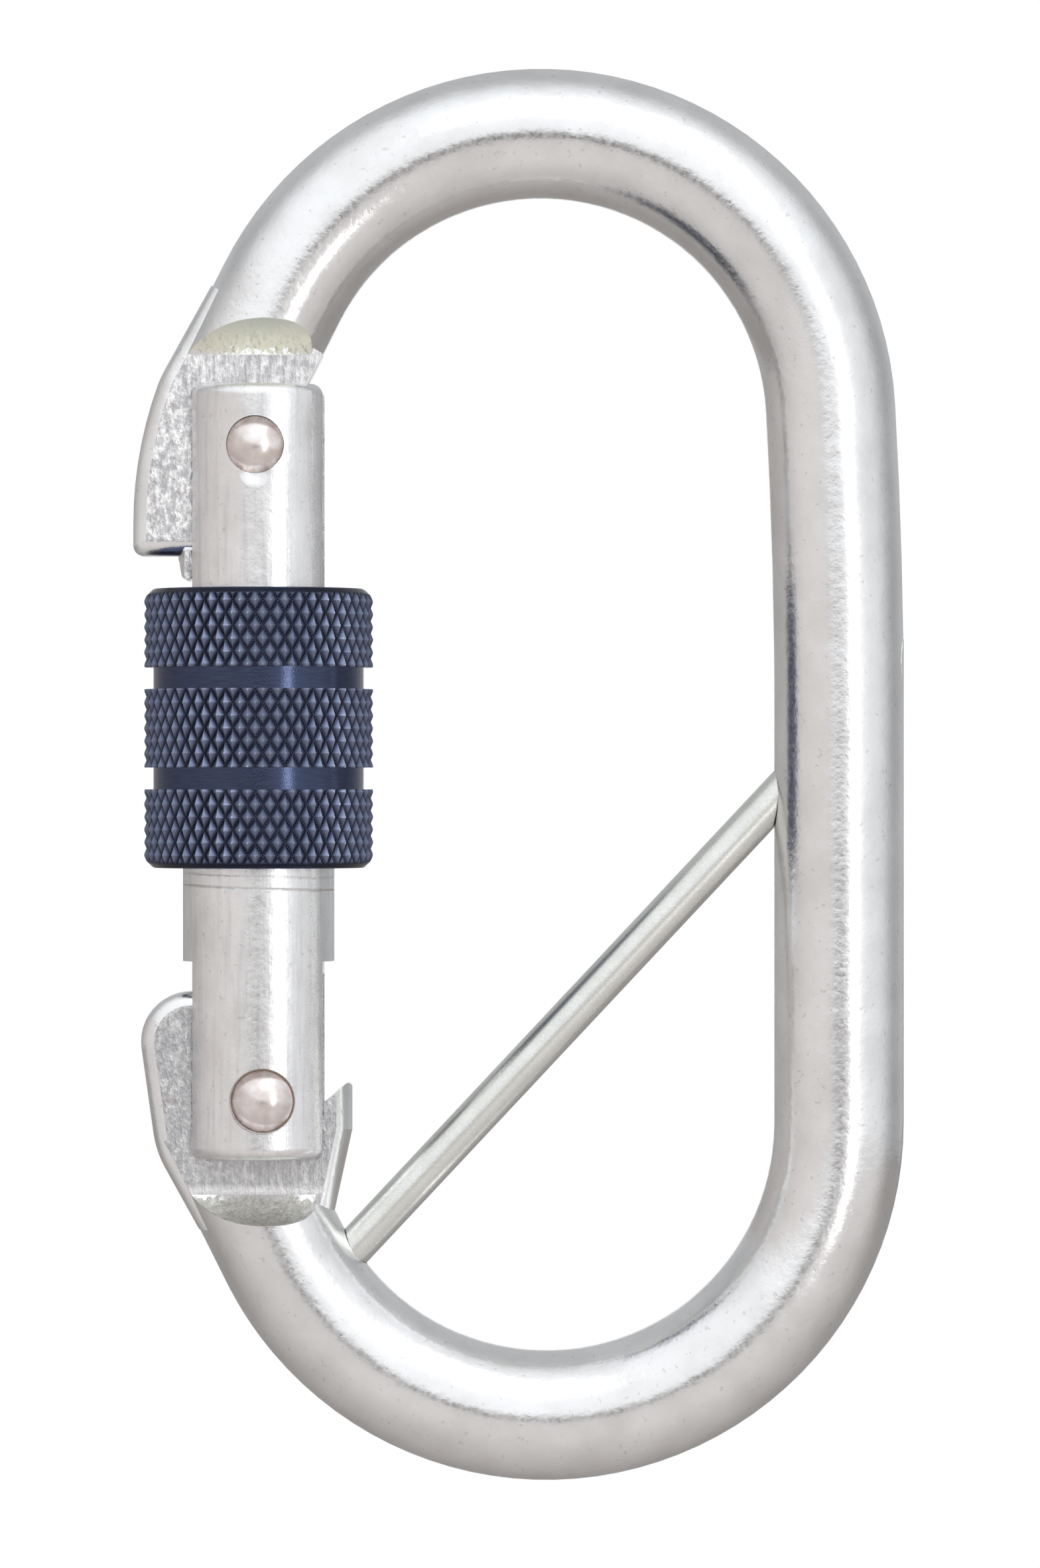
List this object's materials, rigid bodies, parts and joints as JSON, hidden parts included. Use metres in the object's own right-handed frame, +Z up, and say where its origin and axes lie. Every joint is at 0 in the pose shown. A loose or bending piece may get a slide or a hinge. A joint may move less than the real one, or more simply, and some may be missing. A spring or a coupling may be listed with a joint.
{
  "type": "locking carabiner",
  "caption": "Oval steel locking carabiner with a pinned gate, a knurled screw sleeve and a captive bar across the lower eye.",
  "frame": {"origin": "centre of the whole carabiner's box, in the middle plane of the rod", "axes": "+Z up the long way of the oval, from the hinge end to the nose end; +X from the gate to the spine; +Y from the front to the back, across the carabiner"},
  "size_m": [0.06, 0.0178, 0.1099],
  "materials": {
    "body_steel": "bright zinc plate",
    "bar_steel": "satin zinc plate",
    "gate_steel": "bright zinc plate",
    "rivet_steel": "nickel plate",
    "sleeve_aluminium": "navy anodised, knurled",
    "spring_steel": "drawn wire",
    "pusher_steel": "turned"
  },
  "bodies": {
    "frame": {"body": "body_steel", "captive_bar": "bar_steel"},
    "gate": {"gate": "gate_steel", "hinge_rivet": "rivet_steel", "latch_rivet": "rivet_steel", "gate_spring": "spring_steel"},
    "pusher": {"spring_pusher": "pusher_steel"},
    "ring": {"friction_ring": "spring_steel"},
    "sleeve": {"screw_sleeve": "sleeve_aluminium"}
  },
  "joints": [
    {"name": "gate_hinge", "type": "hinge", "parent": "frame", "child": "gate", "pos_m": [-0.01985, 0, -0.02525], "axis": [0, 1, 0], "range_deg": [0, 27], "stiffness_Nm_per_rad": 0.12, "springref_deg": -28.65},
    {"name": "pusher_slide", "type": "slide", "parent": "gate", "child": "pusher", "axis": [0, 0, 1], "range_m": [0, 0.0007], "deforming": ["gate_spring"]},
    {"name": "sleeve_spin", "type": "hinge", "parent": "ring", "child": "sleeve", "pos_m": [-0.0203, 0, 0], "axis": [0, 0, 1], "range_deg": [-1008, 630]},
    {"name": "sleeve_climb", "type": "slide", "parent": "gate", "child": "ring", "axis": [0, 0, 1], "range_m": [-0.0036, 0.0023]}
  ],
  "couplings": [
    {"joint": "pusher_slide", "follows": "gate_hinge", "m_per_rad": 0.0014},
    {"joint": "sleeve_climb", "follows": "sleeve_spin", "m_per_rad": 0.00019894}
  ]
}
